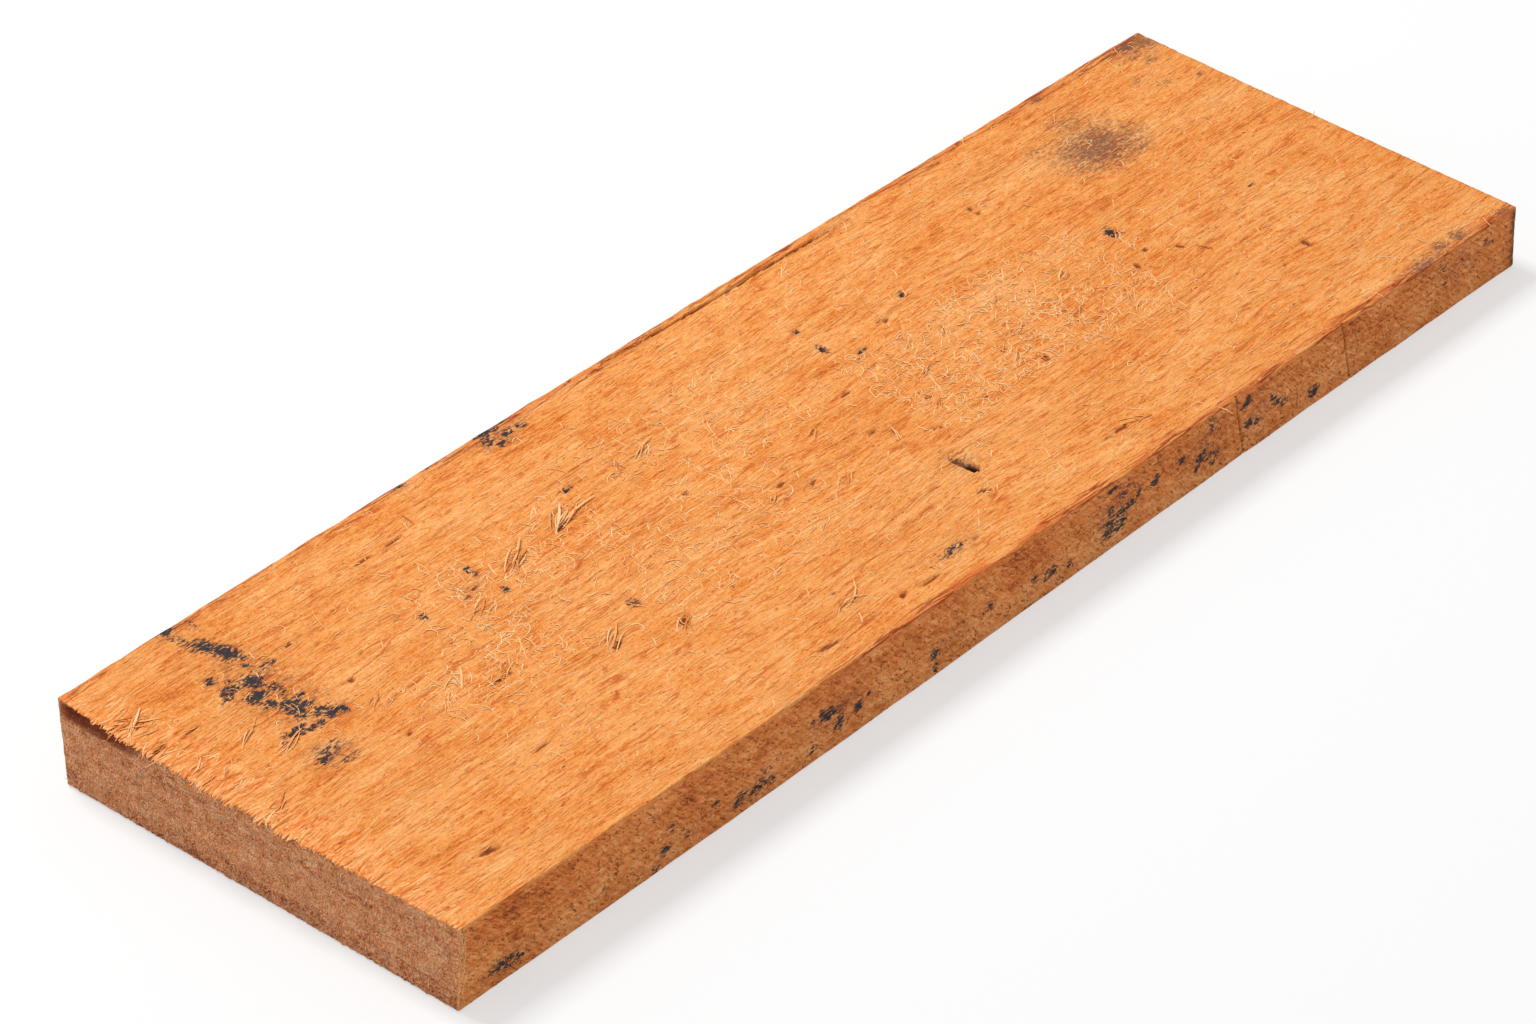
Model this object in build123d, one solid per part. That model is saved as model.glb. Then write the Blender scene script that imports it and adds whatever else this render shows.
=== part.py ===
from build123d import *
import math
import os

# A rough-sawn timber plank, cut to a short length and lying flat on its underside.
# Millimetres. X runs along the grain from the thick end to the thin end, Y across
# the board from the right side to the left side, and Z is up. It is drawn from the
# right upper corner of the thick end, and set down on the middle of its underside.

# The board as the mill and the crosscut saw left it
length = 500.0                # along the grain, at the upper face
width = 150.0                 # across the upper face, at both ends
thick_end_thickness = 27.6    # the mill's cut wandered, so one end is thicker
thin_end_thickness = 22.5
thick_end_cup = 1.3           # how far the middle of the upper face lies hollow
thin_end_cup = 0.3
left_side_bow = 1.2           # the left side bulges out by this at mid length

# No side was sawn square: how far its foot stands outside its upper edge
left_foot = -4.1
right_foot = 1.1
thick_end_foot = 1.4
thin_end_foot = 1.6

# Wear on the corners and arrises
corner_radius = 1.8
lower_arris_radius = 1.2
upper_arris_radius = 0.5

# A chip torn out of the thick end, under a thin lip of the upper face
chip_from_left = 2.5
chip_width = 35.0
chip_lip = 0.7                # how thick the lip is
chip_height = 4.8
chip_depth = 3.4
chip_run_out = 0.5            # its height and depth where it dies away

# A shake that leaves the left arris and follows the grain into the upper face
shake_start = 229.0           # from the thick end
shake_length = 122.0
shake_inset = 4.4             # how far inside the left arris it ends
shake_bend = (0.35, 0.70)     # on its way in: share of its length, share of its inset
shake_opening = 0.7
shake_depth = 2.6

# Two saw scores across the right side, both leaning the same way
score_places = (352.0, 407.0)   # from the thick end, at the upper arris
score_width = 0.8
score_depth = 0.9
score_lean = 13.8             # degrees from upright

# The hole of a lost pin knot, which slants into the upper face
knot_from_thick_end = 267.0
knot_from_right = 42.0        # where it enters the face
knot_diameter = 2.8
knot_run = 9.0                # along the hole, from the face to its end
knot_slope = 26.0             # degrees between the hole and the upper face

# How far cutting shapes reach past the wood
reach = 20.0


def thickness_at(x):
    """Height of the two upper arrises above the underside."""
    return thick_end_thickness + (thin_end_thickness - thick_end_thickness) * x / length


def cup_at(x):
    return thick_end_cup + (thin_end_cup - thick_end_cup) * x / length


def face_height(x, y):
    """Height of the hollow upper face above the underside."""
    off_middle = (y - width / 2) / (width / 2)
    return thickness_at(x) - cup_at(x) * (1 - off_middle**2)


def left_arris_at(x):
    """Y of the left upper arris, which bulges out most at mid length."""
    off_middle = (x - length / 2) / (length / 2)
    return width + left_side_bow * (1 - off_middle**2)


def plan_outline(z, share_of_foot):
    """The board seen from above, at height z, with that share of each side's foot added."""
    x0 = -thick_end_foot * share_of_foot
    x1 = length + thin_end_foot * share_of_foot
    right = -right_foot * share_of_foot
    left = width + left_foot * share_of_foot
    outline = Polyline((x0, left), (x0, right), (x1, right), (x1, left))
    outline += ThreePointArc((x1, left), ((x0 + x1) / 2, left + left_side_bow), (x0, left))
    board = make_face(outline)
    return Pos(0, 0, z) * fillet(board.vertices(), corner_radius)


def sawn_sides():
    """The four sides as sawn, up to the thickest the board gets and past it."""
    top = thick_end_thickness + reach
    # A foot is stated over the thickness, so each side leans on above it at the same slope.
    beyond = -reach / thick_end_thickness
    return loft([plan_outline(0, 1), plan_outline(top, beyond)], ruled=True)


def upper_face_section(x):
    """All that lies under the hollow upper face, at one place along the board."""
    right = (-reach, face_height(x, -reach))
    left = (width + reach, face_height(x, width + reach))
    outline = ThreePointArc(right, (width / 2, face_height(x, width / 2)), left)
    outline += Polyline(left, (width + reach, -reach), (-reach, -reach), right)
    return Plane(origin=(x, 0, 0), x_dir=(0, 1, 0), z_dir=(1, 0, 0)) * make_face(outline)


def sawn_board():
    under_face = loft([upper_face_section(-reach), upper_face_section(length + reach)], ruled=True)
    return sawn_sides() & under_face


def eased(board):
    """The arrises worn round, all along the underside and then along the upper face."""
    underside = board.faces().sort_by(Axis.Z)[0]
    board = fillet(underside.edges(), lower_arris_radius)
    upper_face = board.faces().sort_by(Axis.Z)[-1]
    return fillet(upper_face.edges(), upper_arris_radius)


def chip_section(y, size_share):
    """A wedge that opens on the thick end and points into the board."""
    top = face_height(0, y) - chip_lip
    height = chip_run_out + (chip_height - chip_run_out) * size_share
    depth = chip_run_out + (chip_depth - chip_run_out) * size_share
    # Its roof runs straight in under the lip, and its floor rises from the end to meet it.
    outline = Polyline(
        (-chip_depth, top), (depth, top), (-chip_depth, top - height * (1 + chip_depth / depth)), close=True
    )
    return Plane(origin=(0, y, 0), x_dir=(1, 0, 0), z_dir=(0, -1, 0)) * make_face(outline)


def chip():
    start = width - chip_from_left
    return loft([chip_section(start, 1), chip_section(start - chip_width, 0)], ruled=True)


def shake_point(shares, outward):
    """A place on the shake, that far towards the left arris from its inner wall."""
    x = shake_start + shake_length * shares[0]
    return (x, left_arris_at(x) - shake_inset * shares[1] + outward)


def shake():
    """A slit with two curved walls, open at the arris and closing to a point in the face."""
    mouth = shake_point((0, 0), shake_opening)
    tip = shake_point((1, 1), 0)
    outline = ThreePointArc(mouth, shake_point(shake_bend, 0), tip)
    outline += ThreePointArc(tip, shake_point(shake_bend, shake_opening), mouth)
    floor = thickness_at(shake_start + shake_length / 2) - shake_depth
    return extrude(Pos(0, 0, floor) * make_face(outline), amount=shake_depth + reach)


def scores():
    lean_of_side = math.degrees(math.atan(right_foot / thick_end_thickness))
    cuts = []
    for place in score_places:
        across = Box(score_width, 2 * score_depth, 2 * (thickness_at(place) + reach))
        upper_end = Pos(place, 0, thickness_at(place))
        cuts.append(upper_end * Rot(-lean_of_side, 0, 0) * Rot(0, -score_lean, 0) * across)
    return cuts


def knot_hole():
    entry = face_height(knot_from_thick_end, knot_from_right)
    at_entry = Pos(knot_from_thick_end, knot_from_right, entry)
    bore = Cylinder(knot_diameter / 2, 2 * knot_run)
    return at_entry * Rot(-(90 - knot_slope), 0, 0) * bore


def main():
    os.makedirs("parts", exist_ok=True)
    board = eased(sawn_board())
    board -= [chip(), shake(), knot_hole(), *scores()]
    box = board.bounding_box()
    board = Pos(-box.center().X, -box.center().Y, -box.min.Z) * board
    export_step(board, "parts/plank.step")


main()
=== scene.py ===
import math

import bpy
import numpy as np
from mathutils import Matrix, Quaternion, Vector


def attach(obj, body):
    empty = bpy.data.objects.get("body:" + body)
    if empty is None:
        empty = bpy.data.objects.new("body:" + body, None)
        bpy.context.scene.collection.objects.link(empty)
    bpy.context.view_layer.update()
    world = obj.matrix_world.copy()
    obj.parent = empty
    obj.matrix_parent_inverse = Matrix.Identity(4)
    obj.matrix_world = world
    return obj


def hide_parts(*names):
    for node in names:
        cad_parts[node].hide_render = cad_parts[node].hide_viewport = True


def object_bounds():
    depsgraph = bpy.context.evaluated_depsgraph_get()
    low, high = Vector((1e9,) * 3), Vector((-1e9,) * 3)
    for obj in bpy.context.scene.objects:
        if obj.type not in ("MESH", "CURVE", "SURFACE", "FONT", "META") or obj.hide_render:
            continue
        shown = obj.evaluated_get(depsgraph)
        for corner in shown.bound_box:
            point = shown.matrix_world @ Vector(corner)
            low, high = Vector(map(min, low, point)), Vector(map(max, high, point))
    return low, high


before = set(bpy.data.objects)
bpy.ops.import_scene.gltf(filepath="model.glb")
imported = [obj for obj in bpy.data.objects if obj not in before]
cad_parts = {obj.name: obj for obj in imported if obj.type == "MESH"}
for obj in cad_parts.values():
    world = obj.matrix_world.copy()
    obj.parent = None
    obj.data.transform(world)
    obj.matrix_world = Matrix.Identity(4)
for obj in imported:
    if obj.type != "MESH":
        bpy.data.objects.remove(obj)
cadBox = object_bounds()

# A rough-sawn plank. It is laid out in millimetres in its own grid: a runs along the grain from the
# near, thick end, b across from the right side to the left side, and z up from the underside.
mm = 0.001

plank = {
    "length": 500.0,
    "width": 150.0,
    "nearThickness": 27.6,
    "farThickness": 22.5,
    "nearCup": 1.3,            # how far the middle of the upper face lies hollow
    "farCup": 0.3,
    "leftBow": 1.2,
    "rightWave": 0.6,          # out in the near half, in by as much in the far half
    "waveAbove": 0.4,          # share of that wave at the upper arris
    "leftFoot": -4.1,          # how far each side's foot stands outside its upper edge
    "rightFoot": 1.1,
    "nearFoot": 1.4,
    "farFoot": 1.6,
    "lowerRounding": 0.7,
    "upperRounding": 0.4,
    "cellsAlong": 320,
    "cellsAcross": 196,
    "cellsUp": 26,
    "undersideStep": 4,        # fine cells to one cell of the underside
    # where the cells crowd together: place, reach, how much closer
    "crowdAlong": ((0, 12, 1.2), (267.5, 4, 3), (355, 4.5, 3), (410, 4.5, 3), (500, 3, 1)),
    "crowdAcross": ((0, 2, 3), (38, 6, 0.8), (147.5, 3, 1.6)),
    "crowdUp": ((0, 1.5, 2), (25.5, 3.5, 1.3)),
}


def smooth(low, high, value):
    # rises from 0 to 1 between low and high
    share = np.clip((value - low) / (high - low), 0, 1)
    return share * share * (3 - 2 * share)


def noise(x, y, seed):
    # gradient noise on a unit lattice, from about -1 to 1
    turn = np.random.default_rng(seed).uniform(0, 2 * np.pi, (256, 256))
    x, y = np.broadcast_arrays(np.asarray(x, float), np.asarray(y, float))
    i, j = np.floor(x).astype(int), np.floor(y).astype(int)
    u, v = x - i, y - j

    def corner(di, dj):
        angle = turn[(i + di) % 256, (j + dj) % 256]
        return np.cos(angle) * (u - di) + np.sin(angle) * (v - dj)

    su, sv = (w * w * w * (w * (w * 6 - 15) + 10) for w in (u, v))
    near = corner(0, 0) + su * (corner(1, 0) - corner(0, 0))
    far = corner(0, 1) + su * (corner(1, 1) - corner(0, 1))
    return 1.6 * (near + sv * (far - near))


def spaced(length, count, crowd):
    fine = np.linspace(0, length, 20001)
    density = np.ones_like(fine)
    for place, reach, extra in crowd:
        density += extra * np.exp(-(((fine - place) / reach) ** 2))
    run = np.concatenate([[0], np.cumsum((density[1:] + density[:-1]) / 2)])
    return np.interp(np.linspace(0, run[-1], count + 1), run, fine)


def thickness(a):
    return plank["nearThickness"] + (plank["farThickness"] - plank["nearThickness"]) * a / plank["length"]


def faceHeight(a, b):
    cup = plank["nearCup"] + (plank["farCup"] - plank["nearCup"]) * a / plank["length"]
    return thickness(a) - cup * (1 - (2 * b / plank["width"] - 1) ** 2)


def placeInSpace(a, b, z, wave=plank["rightWave"]):
    # the grid place a, b, z as x, y, z, with the lean of each side, the bow of the left one and the
    # wave of the right one
    footShare = 1 - z / plank["nearThickness"]
    xNear = -plank["nearFoot"] * footShare
    xFar = plank["length"] + plank["farFoot"] * footShare
    x = xNear + a / plank["length"] * (xFar - xNear)
    bow = plank["leftBow"] * (1 - (2 * a / plank["length"] - 1) ** 2)
    wave = wave * (plank["waveAbove"] + (1 - plank["waveAbove"]) * footShare)
    yRight = -plank["rightFoot"] * footShare - wave * np.sin(2 * np.pi * x / plank["length"])
    yLeft = plank["width"] + plank["leftFoot"] * footShare + bow
    y = yRight + b / plank["width"] * (yLeft - yRight)
    return np.stack([x, y, z], -1)


def eased(a, b, z):
    # wears the arrises round: a place within the rounding of two faces moves onto a ball between them
    top = faceHeight(a, b)
    upperShare = smooth(0.6, 1, z / top)
    radius = plank["lowerRounding"] * (1 - upperShare) + plank["upperRounding"] * upperShare
    ends = [(a, plank["length"]), (b, plank["width"]), (z, top)]
    depths = [np.minimum(place, size - place) for place, size in ends]
    pulls = [np.maximum(radius - depth, 0) for depth in depths]
    total = np.maximum(np.sqrt(sum(pull * pull for pull in pulls)), 1e-9)
    moved = []
    for (place, size), depth, pull in zip(ends, depths, pulls):
        inward = np.where(pull > 0, radius - pull * radius / total - depth, 0)
        moved.append(place + np.where(place < size / 2, inward, -inward))
    return moved


# The cuts and tears, placed in millimetres from the near end and from the right side unless a note
# says otherwise
shake = {
    # along the grain, and in from the left arris
    "path": ((231, 0.6), (238, 1.3), (250, 2.2), (275, 2.7), (310, 3.0), (339, 3.5), (353, 4.2)),
    "halfWidth": 0.34,
    "depth": 2.2,
}
chip = {
    "from": 112,               # across the near end
    "to": 147.5,
    "lip": 0.7,                # how thick the wood over it is
    "height": 4.8,
    "depth": 3.4,
}
score = {
    "places": (352, 407),      # along, at the upper arris
    "lean": 13.8,              # degrees from upright
    "halfWidth": 0.4,
    "depth": 0.85,
}
knot = {
    "entry": (266.6, 43.6),
    "end": (268.2, 33.2),      # the deep, black end of the scoop
    "halfWidth": 2.0,
    "depth": 3.2,
}
# torn pits: along, across, half length, half width, depth, heading in degrees
pits = (
    (31.7, 17.8, 4.2, 1.1, 1.0, -14), (108, 132.8, 5, 0.5, 0.5, 0), (121, 133, 4, 0.5, 0.5, 0),
    (287, 117.8, 1.0, 0.7, 0.6, 60), (285.7, 106.4, 1.3, 0.8, 0.8, 80), (293, 97.6, 1.4, 0.6, 0.7, -20),
    (289, 95.2, 0.9, 0.6, 0.8, 0), (310.5, 103.3, 3.4, 0.6, 0.6, -38), (326, 108, 1.8, 0.7, 0.5, 35),
    (272, 86.8, 2.4, 0.8, 0.6, 0), (262, 68.6, 1.8, 0.7, 0.7, -15), (288, 67.8, 1.8, 0.8, 0.7, 0),
    (324.3, 67, 1.7, 0.8, 0.7, -30), (277.4, 56, 1.8, 0.7, 0.7, -35), (300.5, 55.4, 2.0, 0.7, 0.6, -25),
    (329.3, 55.6, 2.4, 0.9, 0.9, -62), (322.8, 50, 2.6, 0.6, 0.6, 85), (260.8, 25.6, 2.6, 0.8, 0.8, -32),
    (315, 15.6, 3.6, 0.9, 0.7, -5), (308, 15.3, 3.5, 0.5, 0.5, 0), (176, 114, 1.9, 0.7, 0.7, 12),
    (128.5, 54.3, 3.0, 0.9, 0.9, 28), (150.5, 48.3, 3.2, 0.9, 0.8, 30), (147.3, 64, 2.2, 0.7, 0.8, -55),
    (161.3, 103, 3.4, 0.7, 0.6, 10), (199, 88.2, 0.9, 0.6, 0.6, 60), (203.2, 10.2, 1.8, 1.0, 1.0, 20),
    (214, 8.8, 6.0, 0.6, 0.6, -6), (169, 9.8, 5.5, 0.8, 0.5, -6), (189.4, 25, 1.2, 0.7, 0.5, 70),
    (222, 71, 2.2, 0.8, 0.5, 15), (229.5, 64.8, 2.4, 0.7, 0.6, 20), (398.7, 82.6, 2.1, 0.9, 1.1, -62),
    (389.6, 66, 1.7, 0.6, 0.6, 85), (383, 60, 1.8, 0.8, 0.6, -60), (398.9, 69.6, 1.6, 0.6, 0.6, -60),
    (413, 57.3, 3.0, 0.5, 0.6, -65), (378.5, 123.4, 1.6, 0.6, 0.6, -65),
    (378.3, 119.8, 0.9, 0.6, 0.6, -60), (423, 32.7, 1.4, 0.6, 0.6, -50), (436.8, 35.7, 2.3, 0.5, 0.5, 88),
    (452.5, 68.3, 1.2, 0.5, 0.5, 0), (408, 63.3, 2.0, 0.6, 0.6, -60), (120.5, 101.7, 1.5, 0.6, 0.6, 20),
    (75.5, 103.9, 1.2, 0.5, 0.6, 0), (64, 97.8, 1.3, 0.6, 0.7, 60), (57, 69.6, 1.8, 0.6, 0.6, 5),
    (94, 67.3, 6.0, 0.5, 0.5, 0), (77, 38.4, 4.0, 0.5, 0.5, 2), (3.0, 114.2, 3.4, 0.9, 1.0, 6),
    (14.0, 113.5, 6.0, 0.5, 0.5, 3), (1.6, 130, 2.5, 0.5, 0.7, 12), (9.0, 125.8, 5.5, 0.4, 0.6, 12),
    (3.4, 94.6, 3.0, 0.4, 0.6, 0),
)


def alongPath(path, a):
    return np.interp(a, [p[0] for p in path], [p[1] for p in path])


def shakeMark(a, b):
    start, end = shake["path"][0][0], shake["path"][-1][0]
    off = np.abs(plank["width"] - b - alongPath(shake["path"], a) - 0.25 * noise(a / 3, 0, 21))
    lens = np.sqrt(np.clip((a - start) * (end - a), 0, None)) / (end - start) * 2
    width = shake["halfWidth"] * (0.35 + 0.65 * lens) * (1 + 0.5 * noise(a / 5, 3.3, 22))
    width = width * np.where((a > start) & (a < end), 1, 0)
    bridged = smooth(0.42, 0.6, noise(a / 2.2, 7.7, 23)) * 0.8      # slivers that still hold across it
    dying = 1 - 0.6 * smooth(300, 350, a)
    return smooth(0, 0.25, width - off + 0.12) * (width > 0) * (1 - bridged) * dying


def knotMark(a, b):
    (a0, b0), (a1, b1) = knot["entry"], knot["end"]
    reach = math.hypot(a1 - a0, b1 - b0)
    along = ((a - a0) * (a1 - a0) + (b - b0) * (b1 - b0)) / reach**2
    side = np.abs((a - a0) * (b1 - b0) - (b - b0) * (a1 - a0)) / reach
    inside = np.clip(along, 0, 1)
    width = knot["halfWidth"] * (0.25 + 0.75 * np.sqrt(inside)) * (1 - smooth(0.92, 1.08, along))
    return smooth(0, 0.55, width - side) * (along > 0) * (along < 1.08), inside


def pitMarks(a, b):
    deepest, dark = np.zeros_like(a), np.zeros_like(a)
    for pa, pb, halfLength, halfWidth, depth, heading in pits:
        c, s = math.cos(math.radians(heading)), math.sin(math.radians(heading))
        u = ((a - pa) * c + (b - pb) * s) / halfLength
        v = ((b - pb) * c - (a - pa) * s) / halfWidth
        v = v + 0.35 * u * u                      # each is slightly bent
        mark = smooth(1.35, 0.35, np.sqrt(u * u + v * v))
        deepest = np.maximum(deepest, mark * depth)
        dark = np.maximum(dark, mark)
    return deepest, dark


def upperRelief(a, b):
    # torn, combed grain: ridges that run with the fibres and wander slowly across
    wander = b + 1.6 * noise(a / 75, b / 30, 1) + 0.45 * noise(a / 17, b / 7, 2)
    deepened = 0.75 + 0.9 * smooth(80, 10, a)     # most by the near end
    ridges = 0.12 * noise(a / 60, wander / 3.1, 3) + deepened * 0.11 * noise(a / 26, wander / 1.8, 4)
    ridges += deepened * 0.08 * noise(a / 9, wander / 1.7, 5)
    tears = smooth(0.42, 0.78, noise(a / 10, wander / 1.8, 6))
    wool = 0.09 * noise(a / 2.6, b / 2.2, 7) * smooth(-0.2, 0.5, noise(a / 60, b / 35, 8))
    return ridges + wool - 0.22 * tears, tears


def rightRelief(a, z):
    lean = math.tan(math.radians(score["lean"]))
    cut = np.zeros_like(a)
    for place in score["places"]:
        centre = place + lean * (thickness(a) - z) + 0.25 * noise(z / 5, place, 31)
        cut = np.maximum(cut, smooth(0, 0.3, score["halfWidth"] - np.abs(a - centre) + 0.1))
    wave = 0.12 * noise(a / 22, 0.5, 32)
    rough = 0.10 * noise(a / 12, z / 1.6, 33) + 0.06 * noise(a / 3.5, z / 1.8, 34)
    return wave + rough - score["depth"] * cut, cut


def chipMark(b, z, top):
    # 1 at the roof under the lip, running out downwards and towards the middle of the end
    down = top - chip["lip"] + 0.35 * noise(b / 3, 5.5, 41) - z
    across = smooth(chip["from"] - 4, chip["to"] - 8, b) * (1 - smooth(chip["to"] - 1.2, chip["to"] + 0.4, b))
    height = chip["height"] * (0.35 + 0.65 * across)
    return np.where(down > 0, 1 - np.clip(down / height, 0, 1) ** 1.3, 0) * across


def nearRelief(b, z, top):
    mark = chipMark(b, z, top)
    rough = 0.12 * noise(b / 1.6, z / 1.4, 42) + 0.07 * noise(b / 6, z / 4, 43)
    foot = 0.3 * noise(b / 1.5, z / 2.2, 44) * (1 - smooth(1, 9, z))
    return rough + foot - chip["depth"] * mark, mark


# Old stains. Blue-black specks on the upper face: along, across, radius along, radius across, strength
inkOnTop = (
    (43.3, 149.8, 2.6, 1.2, 0.9), (42.9, 145.4, 1.6, 2.6, 0.55), (50.4, 147, 1.4, 2.6, 0.5),
    (44.2, 140.3, 2.2, 1.5, 0.95), (45.8, 137.4, 2.6, 3.2, 0.85), (47.9, 132.2, 2.4, 3.0, 0.95),
    (48.7, 129.2, 2.8, 1.6, 1.0), (50, 126.2, 1.5, 2.0, 0.6), (48.3, 123.3, 1.6, 1.8, 0.6),
    (35.4, 125.2, 1.3, 1.4, 0.95), (35.6, 118.7, 2.6, 1.7, 0.85), (38.6, 119.3, 1.4, 2.4, 0.7),
    (33.2, 116.4, 2.6, 1.2, 0.6), (43.8, 117, 2.5, 2.6, 1.0), (52.5, 119.4, 3.6, 1.2, 0.55),
    (63, 121, 3.5, 0.8, 0.4), (39.4, 111.2, 3.0, 2.4, 1.0), (46.7, 110.4, 1.8, 2.2, 0.7),
    (46.4, 107, 1.0, 1.8, 0.6), (40, 106.2, 1.5, 1.9, 1.0), (43.6, 102.6, 2.8, 1.8, 1.0),
    (48.6, 103, 2.6, 0.8, 0.7), (44.0, 99.2, 3.6, 1.8, 1.0), (42.5, 96.2, 2.4, 1.7, 0.75),
    (47.6, 94.6, 3.2, 1.4, 0.8), (49.8, 91.4, 3.2, 1.6, 1.0), (52.9, 90.3, 1.3, 1.6, 0.9),
    (36.1, 92.2, 2.6, 1.4, 1.0), (40, 90.4, 2.6, 0.9, 0.75), (43.3, 90.4, 2.2, 1.5, 0.7),
    (29.2, 90.3, 1.0, 1.5, 0.65), (33, 93.5, 3.0, 1.4, 0.5), (31.2, 78.4, 2.4, 1.6, 0.7),
    (35.6, 80.2, 2.6, 1.4, 0.6), (37.5, 73.7, 3.0, 1.2, 0.55), (39.6, 82.4, 1.4, 1.4, 0.45),
    (179, 149.6, 2.4, 1.6, 0.9), (181.6, 150, 2.0, 1.0, 0.8), (177.6, 146.4, 1.4, 2.0, 0.85),
    (185.4, 145.2, 1.2, 1.2, 1.0), (180.3, 142.8, 1.5, 1.2, 0.95), (190.6, 144.8, 2.0, 1.1, 0.6),
    (184, 149, 1.6, 0.9, 0.65), (188.5, 150, 2.2, 0.8, 0.6), (142.6, 149.6, 1.9, 1.2, 0.65),
    (154, 149.7, 2.0, 0.8, 0.45), (125.8, 108.4, 1.2, 1.5, 0.8), (126.4, 105.4, 1.0, 1.2, 0.55),
    (126.2, 95.2, 1.3, 1.7, 0.7), (115.3, 104.4, 1.2, 1.4, 0.5), (115.9, 99.6, 1.7, 1.3, 0.55),
    (100.3, 103, 1.2, 1.6, 0.75), (94.2, 107.4, 0.8, 1.4, 0.45), (231.4, 14.0, 2.6, 1.0, 0.75),
    (228.0, 13.2, 1.6, 1.0, 0.6), (236.0, 13.2, 3.4, 0.8, 0.45), (220, 12.6, 1.0, 1.8, 0.4),
    (287, 118, 0.9, 1.0, 0.9), (285.6, 106.6, 1.0, 1.8, 0.95), (293, 97.5, 1.5, 0.9, 0.9),
    (326.0, 108.4, 1.4, 1.0, 0.75), (398.9, 83.0, 1.5, 2.0, 1.0), (399.8, 86.6, 1.0, 0.6, 0.7),
    (176.0, 114.2, 1.4, 0.8, 0.9), (147.0, 64.6, 1.0, 2.0, 0.9), (452.4, 68.3, 1.2, 0.6, 0.75),
)
# the brown-grey smudges of old resin and the haze round the knot: along, across, radii, strength
smudges = (
    (435.5, 116.5, 17, 11.5, 1.0), (427, 110.5, 11, 5, 0.55), (440, 131, 10, 9, 0.55),
    (446, 138, 9, 5, 0.35), (398, 131, 12, 6, 0.22), (268.0, 40.5, 7.0, 6.5, 0.5),
    (271, 93.6, 5, 2.5, 0.3), (44, 113, 14, 24, 0.55), (493, 146, 13, 6, 0.8), (482, 130, 14, 10, 0.28),
    (455, 3, 20, 3.5, 0.6), (476, 4, 6, 4, 0.55), (182, 146, 12, 6, 0.6), (120, 102, 9, 6, 0.45),
    (35, 79, 9, 6, 0.7), (232, 13, 12, 3, 0.6), (490, 118, 8, 6, 0.25), (142, 148, 9, 3, 0.35),
    (345, 149, 5, 2, 0.4), (392, 150, 6, 2, 0.5), (464.5, 4.2, 4.5, 2.2, 1.0), (452, 1.4, 7, 2.0, 1.0),
    (473.5, 3.6, 2.6, 3.0, 1.1), (494, 1.4, 4, 2.0, 0.9), (490.4, 146.8, 4.5, 2.8, 1.2),
    (497, 145, 3, 3, 1.2), (490, 137, 2.6, 1.8, 1.0), (486.4, 141.3, 2.0, 1.4, 0.9),
    (494, 120.2, 2.0, 1.6, 0.8), (482, 124.2, 1.8, 1.8, 0.7), (476, 132, 2.2, 2.2, 0.6),
    (444, 147.8, 3, 1.6, 0.7), (428, 121, 7, 5, 0.9), (418, 128, 6, 5, 0.5), (446, 108, 7, 5, 0.7),
)
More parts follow.
